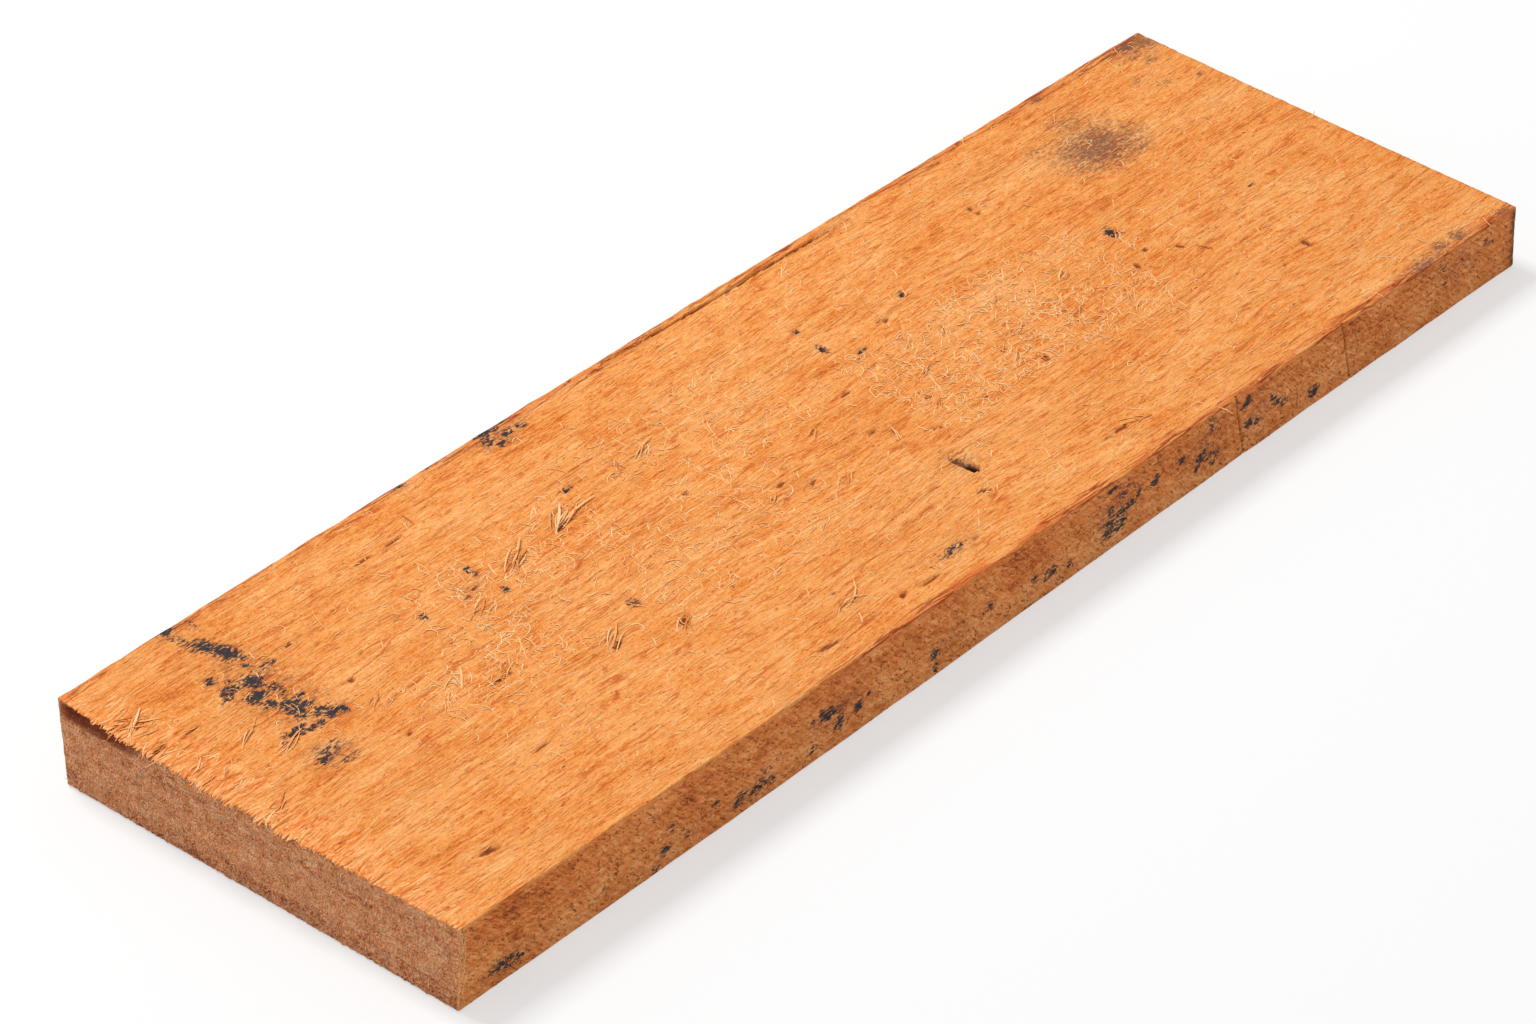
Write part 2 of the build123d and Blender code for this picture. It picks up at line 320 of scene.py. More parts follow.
# blue-black specks on the right side: along, up, radii, strength
inkOnRight = (
    (16, 6.0, 3.0, 1.6, 0.8), (21, 5.4, 3.0, 1.6, 0.9), (24, 4.4, 2.0, 1.2, 0.8),
    (13.5, 5.8, 1.6, 1.2, 0.6), (60, 8.3, 1.2, 1.6, 0.5), (81, 19.3, 0.8, 1.4, 0.8),
    (88.5, 12.3, 2.0, 1.6, 0.55), (85.6, 6.0, 1.8, 1.6, 0.8), (81.5, 1.8, 1.5, 1.0, 0.8),
    (95, 6.3, 1.4, 1.2, 0.6), (106.5, 9.8, 1.8, 0.9, 0.9), (101, 10.8, 1.4, 0.8, 0.5),
    (117.5, 5.6, 2.0, 1.6, 1.0), (125, 5.0, 2.8, 1.8, 0.75), (130.5, 4.6, 2.4, 1.6, 0.65),
    (128.6, 9.2, 1.6, 1.8, 0.5), (150.5, 14.2, 0.9, 0.9, 0.95), (153, 14.6, 0.9, 1.9, 0.9),
    (156.8, 13.5, 2.2, 1.6, 1.0), (161.5, 12.2, 1.4, 1.6, 0.75), (162, 8.2, 1.6, 1.9, 0.95),
    (170.3, 8.8, 2.0, 1.4, 0.95), (175.4, 10.6, 1.4, 0.8, 0.9), (150, 4.4, 1.4, 0.9, 0.8),
    (205.6, 8.2, 1.8, 2.0, 1.0), (206.4, 2.8, 1.2, 1.3, 0.9), (232, 10.8, 2.2, 1.4, 0.6),
    (228, 9.4, 1.2, 0.9, 0.6), (253.3, 9.0, 1.6, 1.6, 0.6), (261, 7.2, 2.6, 1.6, 0.95),
    (262, 9.2, 1.2, 1.4, 0.6), (270.4, 5.8, 1.8, 1.2, 0.6), (290, 14.8, 1.6, 1.0, 0.8),
    (290.5, 21.8, 3.4, 0.7, 0.95), (295.6, 17.4, 2.2, 1.6, 0.6), (300.4, 12.0, 1.8, 1.0, 0.95),
    (303.8, 14.2, 1.0, 1.6, 0.9), (295.4, 11.6, 2.4, 1.2, 1.0), (290.0, 10.4, 3.0, 1.6, 0.75),
    (289.6, 7.2, 2.4, 1.8, 1.0), (295.0, 7.0, 2.8, 2.2, 0.65), (297.6, 19.8, 1.0, 2.2, 0.7),
    (311.7, 13.6, 2.0, 1.4, 1.0), (312.6, 15.6, 1.2, 1.2, 0.8), (325.4, 14.5, 2.2, 1.2, 0.9),
    (335.0, 10.2, 2.0, 1.8, 1.0), (338.8, 9.0, 2.2, 1.0, 0.75), (343.5, 8.4, 1.5, 1.3, 0.95),
    (333.0, 7.0, 1.2, 1.4, 0.7), (342.0, 5.2, 1.2, 1.0, 0.8), (340.5, 20.0, 2.2, 2.4, 0.55),
    (336.5, 12.4, 1.4, 0.9, 0.6), (357.5, 18.8, 2.4, 1.2, 1.0), (358.4, 20.2, 1.2, 1.2, 0.9),
    (360.0, 10.6, 2.6, 1.3, 1.0), (363.5, 9.4, 1.6, 0.9, 0.9), (371.6, 14.4, 1.2, 1.9, 1.0),
    (374.2, 11.4, 1.8, 1.0, 1.0), (377.4, 9.4, 1.6, 1.0, 0.9), (393.0, 5.2, 2.4, 1.8, 0.9),
    (391, 7.4, 1.2, 1.0, 0.6), (463, 11.6, 1.2, 0.7, 0.8), (460, 18.0, 2.4, 2.2, 0.4),
    (484.5, 17.0, 1.6, 1.0, 0.7), (488.0, 15.8, 1.4, 0.9, 0.6), (469.6, 16.2, 1.8, 1.2, 0.4),
)
hazeOnRight = (
    (160, 12, 14, 6, 0.55), (292, 12, 13, 8, 0.6), (338, 13, 12, 8, 0.55), (365, 13, 10, 7, 0.5),
    (20, 6, 12, 4, 0.5), (215, 10, 14, 6, 0.4), (92, 7, 12, 5, 0.35), (262, 8, 10, 4, 0.4),
    (125, 6, 12, 4, 0.5), (470, 14, 18, 8, 0.45),
)


def gathered(a, b, marks, spread=1.0):
    # how much of a stain there is at each place: 1 in the middle of a mark, 0 beyond its radii
    total = np.zeros_like(a)
    for ma, mb, radiusAlong, radiusAcross, strength in marks:
        radiusAlong, radiusAcross = radiusAlong * spread, radiusAcross * spread
        near = (np.abs(a - ma) < radiusAlong * 2.2) & (np.abs(b - mb) < radiusAcross * 2.2)
        far = ((a[near] - ma) / radiusAlong) ** 2 + ((b[near] - mb) / radiusAcross) ** 2
        total[near] = np.maximum(total[near], strength * np.exp(-0.7 * far))
    return total


def closedBox(na, nb, nc, step):
    # grid numbers of a closed box's skin and its faces, fine everywhere but on the underside
    kept = np.zeros((na + 1, nb + 1, nc + 1), bool)
    kept[[0, -1]] = True
    kept[:, [0, -1]] = True
    kept[:, :, -1] = True
    kept[::step, ::step, 0] = True
    number = np.full(kept.shape, -1)
    number[kept] = np.arange(kept.sum())

    def sheet(grid, outward):
        corners = [grid[:-1, :-1], grid[1:, :-1], grid[1:, 1:], grid[:-1, 1:]]
        return np.stack(corners if outward else corners[::-1], -1).reshape(-1, 4)

    groups = {
        "upper": sheet(number[:, :, -1], True),
        "right": sheet(number[:, 0, :], True),
        "left": sheet(number[:, -1, :], False),
        "near": sheet(number[0], False),
        "far": sheet(number[-1], True),
    }
    under = []
    for i in range(0, na, step):
        for j in range(0, nb, step):
            nextI, nextJ = i + step, j + step
            ring = [(i, y) for y in (range(j, nextJ) if i == 0 else [j])]
            ring += [(x, nextJ) for x in (range(i, nextI) if nextJ == nb else [i])]
            ring += [(nextI, y) for y in (range(nextJ, j, -1) if nextI == na else [nextJ])]
            ring += [(x, j) for x in (range(nextI, i, -1) if j == 0 else [nextI])]
            under.append([int(number[x, y, 0]) for x, y in ring])
    return np.argwhere(kept), groups, under


def setFloats(mesh, name, values):
    mesh.attributes.new(name, "FLOAT", "POINT").data.foreach_set("value", np.asarray(values, np.float32))


def buildPlank():
    na, nb, nc = plank["cellsAlong"], plank["cellsAcross"], plank["cellsUp"]
    grid, groups, under = closedBox(na, nb, nc, plank["undersideStep"])
    a = spaced(plank["length"], na, plank["crowdAlong"])[grid[:, 0]]
    b = spaced(plank["width"], nb, plank["crowdAcross"])[grid[:, 1]]
    top = faceHeight(a, b)
    z = spaced(plank["nearThickness"], nc, plank["crowdUp"])[grid[:, 2]] / plank["nearThickness"] * top
    ea, eb, ez = eased(a, b, z)
    points = placeInSpace(ea, eb, ez)
    straight = placeInSpace(ea, eb, ez, wave=0)
    middle = (straight.max(0) + straight.min(0)) / 2

    onUpper = 1 - smooth(0, 1.4, top - z)
    onRight, onLeft = 1 - smooth(0, 1.4, b), 1 - smooth(0, 1.4, plank["width"] - b)
    onNear, onFar = 1 - smooth(0, 1.4, a), 1 - smooth(0, 1.4, plank["length"] - a)
    onUnder = 1 - smooth(0, 1.0, z)
    relief, torn = upperRelief(a, b)
    cleft = shakeMark(a, b)
    hole, holeRun = knotMark(a, b)
    pitDepth, pitDark = pitMarks(a, b)
    scooped = knot["depth"] * hole * (0.15 + 0.85 * holeRun)
    sunk = np.maximum.reduce([shake["depth"] * cleft, scooped, pitDepth])
    points[:, 2] += onUpper * (relief - sunk)
    side, cut = rightRelief(a, z)
    points[:, 1] -= onRight * side
    leftRough = 0.5 * smooth(3, 22, z) + 0.2 * noise(a / 14, z / 3, 51) + 0.12 * noise(a / 4, z / 2, 52)
    points[:, 1] += onLeft * leftRough
    end, chipped = nearRelief(b, z, top)
    ragged = 0.3 + 0.75 * noise(b / 0.95, z / 1.2, 45) + 0.5 * noise(b / 3.2, 1.5, 46)
    points[:, 0] -= onNear * (end + onUpper * ragged)
    farRough = 0.3 + 0.10 * noise(b / 3, z / 3, 61) + 0.06 * noise(b / 1.3, z / 1.5, 62)
    points[:, 0] += onFar * farRough
    points[:, 2] += onUnder * (1 - np.maximum(onRight, onLeft)) * 0.06 * (1 + noise(a / 20, b / 3, 71))

    mesh = bpy.data.meshes.new("sawnTimber")
    faces = [face for group in groups.values() for face in group.tolist()] + under
    mesh.from_pydata((points * mm).tolist(), [], faces)
    mesh.polygons.foreach_set("use_smooth", [True] * len(faces))
    # how far each place belongs to the ends and sides, and its marks
    setFloats(mesh, "endGrain", np.maximum(onNear, onFar) * (1 - onUpper))
    setFloats(mesh, "sideGrain", np.maximum(onRight, onLeft) * (1 - onUpper))
    # painted shade: the shake, the deep end of the knot, the saw scores and the roof of the chip are darkened
    # in colour where shade falls in them
    darkest = [onUpper * cleft, onUpper * hole * smooth(0.35, 0.75, holeRun)]
    darkest += [0.55 * onRight * cut, 0.4 * onNear * smooth(0.8, 1, chipped)]
    setFloats(mesh, "paintedCutShade", np.maximum.reduce(darkest))
    # under the near end's lip: partly darker weathered wood, partly painted shade below the overhang, fading
    # downwards
    lipWoodAndShade = smooth(108, 136, b) * (1 - smooth(3.0, 7.0, top - z)) * (1 - smooth(148.5, 150, b))
    setFloats(mesh, "hollow", onNear * lipWoodAndShade * (1 - smooth(0.9, 0.2, top - z)))
    setFloats(mesh, "torn", onUpper * np.maximum(pitDark, 0.2 * torn))
    inked = np.maximum(onUpper * gathered(a, b, inkOnTop), onRight * gathered(a, z, inkOnRight))
    setFloats(mesh, "ink", inked)
    halo = 0.75 * gathered(a, b, inkOnTop, spread=1.8)
    onTop = np.maximum.reduce([gathered(a, b, smudges), halo, 1.5 * hole])
    setFloats(mesh, "smudge", np.maximum(onUpper * onTop, onRight * gathered(a, z, hazeOnRight)))
    leftBand = smooth(4.5, 1, plank["width"] - b + 1.5 * noise(a / 30, 2.2, 81))
    leftBand = leftBand * (0.45 + 0.4 * noise(a / 40, 6.2, 83))
    rightBand = smooth(4.2, 0.6, b + 1.8 * noise(a / 26, 4.1, 82)) * smooth(90, 260, a)
    setFloats(mesh, "redBand", onUpper * np.maximum(leftBand, rightBand))
    # the near right corner: the fuzz's own paler colour, lightened further as a painted highlight because the
    # corner lies in the lamp's shade
    setFloats(mesh, "fuzzAndHighlightEdge", onNear * onRight * (1 - onUpper))
    setFloats(mesh, "burnt", onRight * (1 - onUpper) * smooth(4.5, 0.5, plank["length"] - a))
    return mesh, middle, groups, under, (a, b, z)


def unrollPlank(mesh, groups, under, grid):
    # one flat map: upper face, underside, right side, left side and the two ends, each laid out flat
    a, b, z = grid
    layout = {
        "upper": (a, b), "under": (a, b + 155), "right": (a, z + 310), "left": (a, z + 343),
        "near": (b, z + 376), "far": (b + 155, z + 376),
    }
    size = 510
    owner = [name for name, group in groups.items() for _ in range(len(group))] + ["under"] * len(under)
    spots = np.zeros((len(mesh.loops), 2))
    corner = np.zeros(len(mesh.loops), int)
    mesh.loops.foreach_get("vertex_index", corner)
    counts = np.array([p.loop_total for p in mesh.polygons])
    ownerOfLoop = np.repeat(np.array(owner), counts)
    for name, (u, v) in layout.items():
        here = ownerOfLoop == name
        spots[here] = np.stack([u[corner[here]], v[corner[here]]], -1) / size + 0.005
    mesh.uv_layers.new(name="OFBake").data.foreach_set("uv", spots.ravel())


mesh, middle, groups, under, grid = buildPlank()
unrollPlank(mesh, groups, under, grid)
cadMiddle = (cadBox[0] + cadBox[1]) / 2
shift = np.array([cadMiddle.x / mm - middle[0], cadMiddle.y / mm - middle[1], 0])
mesh.transform(Matrix.Translation(Vector(shift * mm)))
timber = bpy.data.objects.new("sawnTimber", mesh)
bpy.context.scene.collection.objects.link(timber)
print("plank:", len(mesh.vertices), "vertices, shift", shift.round(3), "mm")


def inFrame(x, y, z):
    return Vector(((x + shift[0]) * mm, (y + shift[1]) * mm, z * mm))


# Materials
def linear(red, green, blue):
    # a colour as seen, 0 to 255, as the shader wants it
    parts = [c / 255 for c in (red, green, blue)]
    return tuple(c / 12.92 if c <= 0.04045 else ((c + 0.055) / 1.055) ** 2.4 for c in parts) + (1.0,)


class Recipe:
    # a short way to wire a material's nodes together
    def __init__(self, name):
        self.material = bpy.data.materials.new(name)
        self.material.use_nodes = True
        self.tree = self.material.node_tree
        self.shader = self.tree.nodes["Principled BSDF"]

    def put(self, socket, value):
        if isinstance(value, bpy.types.NodeSocket):
            self.tree.links.new(value, socket)
        elif value is not None:
            socket.default_value = value

    def node(self, kind, **settings):
        made = self.tree.nodes.new(kind)
        for key, value in settings.items():
            setattr(made, key, value)
        return made

    def calc(self, operation, first, second=None, third=None, clamp=False):
        made = self.node("ShaderNodeMath", operation=operation, use_clamp=clamp)
        for socket, value in zip(made.inputs, (first, second, third)):
            self.put(socket, value)
        return made.outputs[0]

    def stretch(self, place, along, across, up):
        made = self.node("ShaderNodeVectorMath", operation="MULTIPLY")
        self.put(made.inputs[0], place)
        made.inputs[1].default_value = (along, across, up)
        return made.outputs[0]

    def shiftBy(self, place, offset, amount):
        made = self.node("ShaderNodeVectorMath", operation="MULTIPLY_ADD")
        self.put(made.inputs[0], offset)
        made.inputs[1].default_value = amount
        self.put(made.inputs[2], place)
        return made.outputs[0]

    def grain(self, place, detail=2.0, roughness=0.55, distortion=0.0, colour=False):
        made = self.node("ShaderNodeTexNoise")
        self.put(made.inputs["Vector"], place)
        made.inputs["Scale"].default_value = 1.0
        made.inputs["Detail"].default_value = detail
        made.inputs["Roughness"].default_value = roughness
        made.inputs["Distortion"].default_value = distortion
        return made.outputs["Color" if colour else "Fac"]

    def between(self, value, low, high, toLow=0.0, toHigh=1.0):
        made = self.node("ShaderNodeMapRange", interpolation_type="SMOOTHSTEP")
        for socket, given in zip(made.inputs, (value, low, high, toLow, toHigh)):
            self.put(socket, given)
        return made.outputs[0]

    def sway(self, value, cloud, swing):
        # adds a noise that swings evenly about its middle
        return self.calc("ADD", value, self.calc("MULTIPLY_ADD", cloud, swing, -swing / 2))

    def ridge(self, value, width):
        # thin lines where a noise crosses its middle
        off = self.calc("ABSOLUTE", self.calc("SUBTRACT", value, 0.5))
        return self.between(off, 0.0, width, 1.0, 0.0)

    def ramp(self, value, stops):
        made = self.node("ShaderNodeValToRGB")
        self.put(made.inputs[0], value)
        band = made.color_ramp
        while len(band.elements) < len(stops):
            band.elements.new(1.0)
        for element, (place, colour) in zip(band.elements, stops):
            element.position = place
            element.color = linear(*colour)
        return made.outputs[0]

    def mix(self, share, first, second, blend="MIX"):
        made = self.node("ShaderNodeMix", data_type="RGBA", blend_type=blend)
        self.put(made.inputs[0], share)
        for socket, value in ((made.inputs[6], first), (made.inputs[7], second)):
            self.put(socket, linear(*value) if isinstance(value, tuple) and len(value) == 3 else value)
        return made.outputs[2]

    def mark(self, name):
        return self.node("ShaderNodeAttribute", attribute_name=name).outputs["Fac"]

    def inMillimetres(self):
        place = self.node("ShaderNodeTexCoord").outputs["Object"]
        return self.stretch(place, 1000, 1000, 1000)

    def blend(self, share, first, second):
        made = self.node("ShaderNodeMix", data_type="FLOAT")
        for socket, value in zip((made.inputs[0], made.inputs[2], made.inputs[3]), (share, first, second)):
            self.put(socket, value)
        return made.outputs[0]

    def finish(self, colour, roughness, height):
        self.put(self.shader.inputs["Base Color"], colour)
        self.put(self.shader.inputs["Roughness"], roughness)
        self.shader.inputs["Specular IOR Level"].default_value = 0.2
        bump = self.node("ShaderNodeBump")
        bump.inputs["Distance"].default_value = mm
        self.put(bump.inputs["Height"], height)
        self.put(self.shader.inputs["Normal"], bump.outputs[0])
        return self.material


# colours as seen, 0 to 255; the tones are stops from dark to light
timberLook = {
    "upperTones": (
        (0.22, (188, 84, 20)), (0.34, (218, 116, 40)), (0.43, (234, 140, 62)), (0.52, (241, 157, 82)),
        (0.62, (246, 172, 100)), (0.78, (252, 196, 130)),
    ),
    "sideTones": (
        (0.2, (136, 58, 18)), (0.42, (208, 114, 50)), (0.56, (228, 138, 71)), (0.76, (250, 176, 110)),
    ),
    "endTones": (
        (0.2, (122, 54, 26)), (0.40, (208, 122, 72)), (0.56, (236, 150, 92)), (0.78, (255, 190, 136)),
    ),
    # partly the grain's own darker lines, partly painted shade in the furrows
    "furrowGrainAndShadeColour": (192, 78, 18),
    # painted shade in the shake, the knot's deep end, the saw scores and the chip's roof
    "paintedCutShadeColour": (42, 20, 16),
    # partly darker weathered wood, partly painted shade under the near end's lip
    "lipWoodAndShadeColour": (140, 56, 30),
    "tornColour": (178, 76, 20),
    "gougeColour": (126, 42, 12),
    "inkColour": (32, 43, 53),
    "smudgeColour": (104, 68, 60),
    "redBandColour": (212, 110, 52),
    "bandTearColour": (150, 52, 16),
    # paler fuzz, lightened further as a painted highlight down the near right corner
    "fuzzAndHighlightColour": (255, 174, 110),
    "burntColour": (104, 52, 22),
    "sideSpeckColour": (128, 62, 26),
    "wormColour": (252, 208, 168),
}


def timberMaterial():
    # heights are in millimetres, and add up before they go into one bump
    look = timberLook
    r = Recipe("roughSawnTimber")
    place = r.inMillimetres()
    slow = r.grain(r.stretch(place, 0.012, 0.035, 0.035), detail=1.0, colour=True)
    quick = r.grain(r.stretch(place, 0.05, 0.16, 0.16), detail=1.0, colour=True)
    bent = r.shiftBy(r.shiftBy(place, slow, (0.0, 9.0, 5.0)), quick, (0.0, 1.8, 1.2))
    mottle = r.grain(r.stretch(place, 1.1, 1.7, 1.7), detail=2.0, roughness=0.7)
    hair = r.grain(r.stretch(bent, 0.3, 2.0, 2.0), detail=1.5, roughness=0.6)
    strand = r.grain(r.stretch(bent, 0.07, 0.5, 0.5), detail=2.0, roughness=0.55)
    board = r.grain(r.stretch(bent, 0.009, 0.06, 0.06), detail=2.0)
    blotch = r.grain(r.stretch(place, 0.05, 0.07, 0.07), detail=2.0)
    tone = 0.52
    for cloud, swing in ((mottle, 0.5), (hair, 0.5), (strand, 0.38), (board, 0.24), (blotch, 0.24)):
        tone = r.sway(tone, cloud, swing)
    upper = r.ramp(tone, look["upperTones"])

    # furrows that follow the grain: fine and broken, then longer and deeper ones; their darker colour is
    # partly the grain's own, partly painted shade in the grooves
    jitter = r.grain(r.stretch(place, 0.7, 0.7, 0.7), detail=2.0, colour=True)
    ragged = r.shiftBy(bent, jitter, (0.0, 0.5, 0.5))
    fineLine = r.ridge(r.grain(r.stretch(ragged, 0.045, 0.75, 0.75), detail=0.0), 0.06)
    fineHere = r.between(r.grain(r.stretch(bent, 0.11, 0.5, 0.5), detail=1.0), 0.42, 0.54)
    fine = r.calc("MULTIPLY", fineLine, fineHere)
    longLine = r.ridge(r.grain(r.stretch(ragged, 0.014, 0.26, 0.26), detail=0.0), 0.022)
    longHere = r.between(r.grain(r.stretch(bent, 0.05, 0.2, 0.2), detail=1.5), 0.5, 0.66)
    long = r.calc("MULTIPLY", longLine, longHere)
    furrow = r.calc("MAXIMUM", r.calc("MULTIPLY", fine, 0.8), long)
    upper = r.mix(r.calc("MULTIPLY", furrow, 0.78), upper, look["furrowGrainAndShadeColour"])
    # small torn pits
    pitNoise = r.grain(r.stretch(place, 0.6, 1.3, 1.3), detail=1.0)
    pit = r.between(pitNoise, 0.695, 0.74)
    upper = r.mix(r.calc("MULTIPLY", pit, 0.65), upper, look["tornColour"])

    # sides: browner, with short slanting strokes and specks
    slant = r.node("ShaderNodeMapping")
    slant.inputs["Rotation"].default_value = (0.0, math.radians(-38), 0.0)
    r.put(slant.inputs["Vector"], place)
    sawn = r.grain(r.stretch(bent, 0.12, 0.8, 0.8), detail=3.0, roughness=0.6)
    stroke = r.grain(r.stretch(slant.outputs[0], 0.2, 1.0, 1.0), detail=3.0, roughness=0.62, distortion=0.5)
    sideTone = 0.5
    for cloud, swing in ((sawn, 0.55), (stroke, 0.8), (blotch, 0.45), (mottle, 0.5)):
        sideTone = r.sway(sideTone, cloud, swing)
    upward = r.node("ShaderNodeSeparateXYZ")
    r.put(upward.inputs[0], place)
    sideTone = r.calc("ADD", sideTone, r.between(upward.outputs["Z"], 3.0, 18.0, 0.12, -0.01))
    side = r.ramp(sideTone, look["sideTones"])
    speckNoise = r.grain(r.stretch(slant.outputs[0], 0.45, 1.1, 1.1), detail=1.0, distortion=0.3)
    speck = r.between(speckNoise, 0.63, 0.71)
    side = r.mix(r.calc("MULTIPLY", speck, 0.7), side, look["sideSpeckColour"])

    # ends: worm-like pores over faint ring lines
    pores = r.grain(r.stretch(place, 0.95, 0.95, 0.7), detail=1.5, distortion=1.2)
    worms = r.ridge(pores, 0.05)
    mottled = r.grain(r.stretch(place, 0.3, 0.3, 0.3), detail=2.0)
    rings = r.grain(r.stretch(bent, 0.01, 0.02, 0.8), detail=2.0)
    ringLine = r.calc("MULTIPLY", r.ridge(rings, 0.025), r.between(mottled, 0.4, 0.6))
    endTone = 0.5
    for cloud, swing in ((mottled, 0.5), (rings, 0.4), (mottle, 1.4)):
        endTone = r.sway(endTone, cloud, swing)
    endTone = r.calc("ADD", endTone, r.between(upward.outputs["Z"], 2.0, 9.0, -0.07, 0.02))
    end = r.ramp(endTone, look["endTones"])
    wormHere = r.between(r.grain(r.stretch(place, 0.2, 0.2, 0.3), detail=1.0), 0.35, 0.6)
    wormShare = r.calc("MULTIPLY", worms, r.calc("MULTIPLY_ADD", wormHere, 0.7, 0.2))
    light = r.calc("MAXIMUM", wormShare, r.calc("MULTIPLY", ringLine, 0.8))
    end = r.mix(light, end, look["wormColour"])

    colour = r.mix(r.mark("sideGrain"), upper, side)
    colour = r.mix(r.mark("endGrain"), colour, end)
    # the torn, redder wood along the arrises
    bandShare = r.calc("MULTIPLY", r.mark("redBand"), r.between(strand, 0.36, 0.56, 0.85, 0.2))
    colour = r.mix(bandShare, colour, look["redBandColour"])
    bandTear = r.ridge(r.grain(r.stretch(ragged, 0.03, 0.55, 0.55), detail=1.0), 0.07)
    bandTear = r.calc("MULTIPLY", bandTear, r.between(r.mark("redBand"), 0.05, 0.5))
    colour = r.mix(r.calc("MULTIPLY", bandTear, 0.9), colour, look["bandTearColour"])
    colour = r.mix(r.calc("MULTIPLY", r.between(r.mark("torn"), 0.0, 0.8), 0.85), colour, look["gougeColour"])
    # paler fuzz plus a painted highlight down the near right corner, which lies in the lamp's shade
    fuzzAndHighlightRim = r.calc("ADD", r.mark("fuzzAndHighlightEdge"), r.calc("MULTIPLY_ADD", mottle, 1.2, -0.6))
    colour = r.mix(r.between(fuzzAndHighlightRim, 0.35, 0.85), colour, look["fuzzAndHighlightColour"])
    burnt = r.calc("MULTIPLY", r.mark("burnt"), r.between(mottled, 0.3, 0.7, 1.0, 0.5))
    colour = r.mix(burnt, colour, look["burntColour"])

    # stains soak in along the fibres, so their rims are feathered by the same grain
    feather = r.grain(r.stretch(ragged, 0.55, 1.3, 1.3), detail=3.0, roughness=0.62, distortion=0.4)
    crackle = r.ridge(r.grain(r.stretch(place, 0.32, 0.42, 0.42), detail=2.0, distortion=1.0), 0.09)
    smudge = r.calc("ADD", r.mark("smudge"), r.calc("MULTIPLY_ADD", feather, 2.0, -1.25))
    smudge = r.calc("ADD", smudge, r.calc("MULTIPLY", crackle, 0.3))
    smudge = r.calc("MULTIPLY", r.between(smudge, 0.0, 1.0), r.between(r.mark("smudge"), 0.02, 0.45))
    colour = r.mix(r.calc("MULTIPLY", smudge, 0.8), colour, look["smudgeColour"])
    inkCore = r.mark("ink")
    ink = r.calc("ADD", inkCore, r.calc("MULTIPLY_ADD", feather, 3.0, -1.5))
    ink = r.calc("MULTIPLY", r.between(ink, 0.18, 0.62), r.between(inkCore, 0.04, 0.3))
    colour = r.mix(r.calc("MULTIPLY", ink, 0.94), colour, look["inkColour"])
    # partly darker weathered wood, partly painted shade under the near end's lip
    hollow = r.calc("ADD", r.mark("hollow"), r.calc("MULTIPLY_ADD", mottled, 0.8, -0.4))
    hollow = r.calc("MULTIPLY", r.between(hollow, 0.1, 0.8), r.between(r.mark("hollow"), 0.02, 0.25))
    colour = r.mix(r.calc("MULTIPLY", hollow, 0.84), colour, look["lipWoodAndShadeColour"])
    # painted shade in the shake, the knot's deep end, the saw scores and under the chip's lip
    colour = r.mix(r.between(r.mark("paintedCutShade"), 0.05, 0.75), colour, look["paintedCutShadeColour"])

    height = r.calc("MULTIPLY", hair, 0.34)
    height = r.calc("ADD", height, r.calc("MULTIPLY", mottle, 0.16))
    height = r.calc("ADD", height, r.calc("MULTIPLY", strand, 0.2))
    height = r.calc("SUBTRACT", height, r.calc("MULTIPLY", furrow, 0.1))
    height = r.calc("SUBTRACT", height, r.calc("MULTIPLY", pit, 0.1))
    sideHeight = r.calc("ADD", r.calc("MULTIPLY", sawn, 0.45), r.calc("MULTIPLY", stroke, 0.35))
    sideHeight = r.calc("SUBTRACT", sideHeight, r.calc("MULTIPLY", speck, 0.25))
    endHeight = r.calc("ADD", r.calc("MULTIPLY", worms, 0.28), r.calc("MULTIPLY", mottle, 0.4))
    height = r.blend(r.mark("sideGrain"), height, sideHeight)
    height = r.blend(r.mark("endGrain"), height, endHeight)
    return r.finish(colour, r.between(tone, 0.2, 0.8, 0.9, 0.72), height)


fibreLook = {
    "upperTones": (
        (0.05, (220, 108, 38)), (0.3, (242, 146, 74)), (0.6, (254, 176, 108)), (0.9, (255, 208, 152)),
    ),
    "endTones": (
        (0.1, (190, 116, 74)), (0.4, (216, 142, 96)), (0.7, (238, 168, 120)), (0.9, (250, 194, 148)),
    ),
    # the corner fuzz's pale tones, lightened further as a painted highlight, since that corner lies in the
    # lamp's shade
    "cornerFuzzAndHighlightTones": ((0.1, (248, 148, 82)), (0.5, (255, 176, 110)), (0.9, (255, 202, 144))),
    "sideTones": (
        (0.1, (176, 96, 44)), (0.4, (204, 124, 64)), (0.7, (226, 150, 88)), (0.9, (240, 176, 116)),
    ),
    "inkColour": (48, 54, 62),
}


def fibreMaterial(name, tones):
    r = Recipe(name)
    place = r.inMillimetres()
    streak = r.grain(r.stretch(place, 0.8, 1.6, 1.6), detail=2.0)
    tone = r.calc("MULTIPLY", r.mark("tone"), 0.8)
    tone = r.calc("ADD", tone, r.calc("MULTIPLY_ADD", streak, 0.6, -0.2))
    colour = r.ramp(tone, fibreLook[tones])
    ink = r.calc("ADD", r.mark("ink"), r.calc("MULTIPLY_ADD", streak, 1.6, -0.8))
    ink = r.calc("MULTIPLY", r.between(ink, 0.5, 0.9), r.between(r.mark("ink"), 0.1, 0.4))
    colour = r.mix(ink, colour, fibreLook["inkColour"])
    return r.finish(colour, r.between(streak, 0.3, 0.7, 0.85, 0.7), r.calc("MULTIPLY", streak, 0.02))


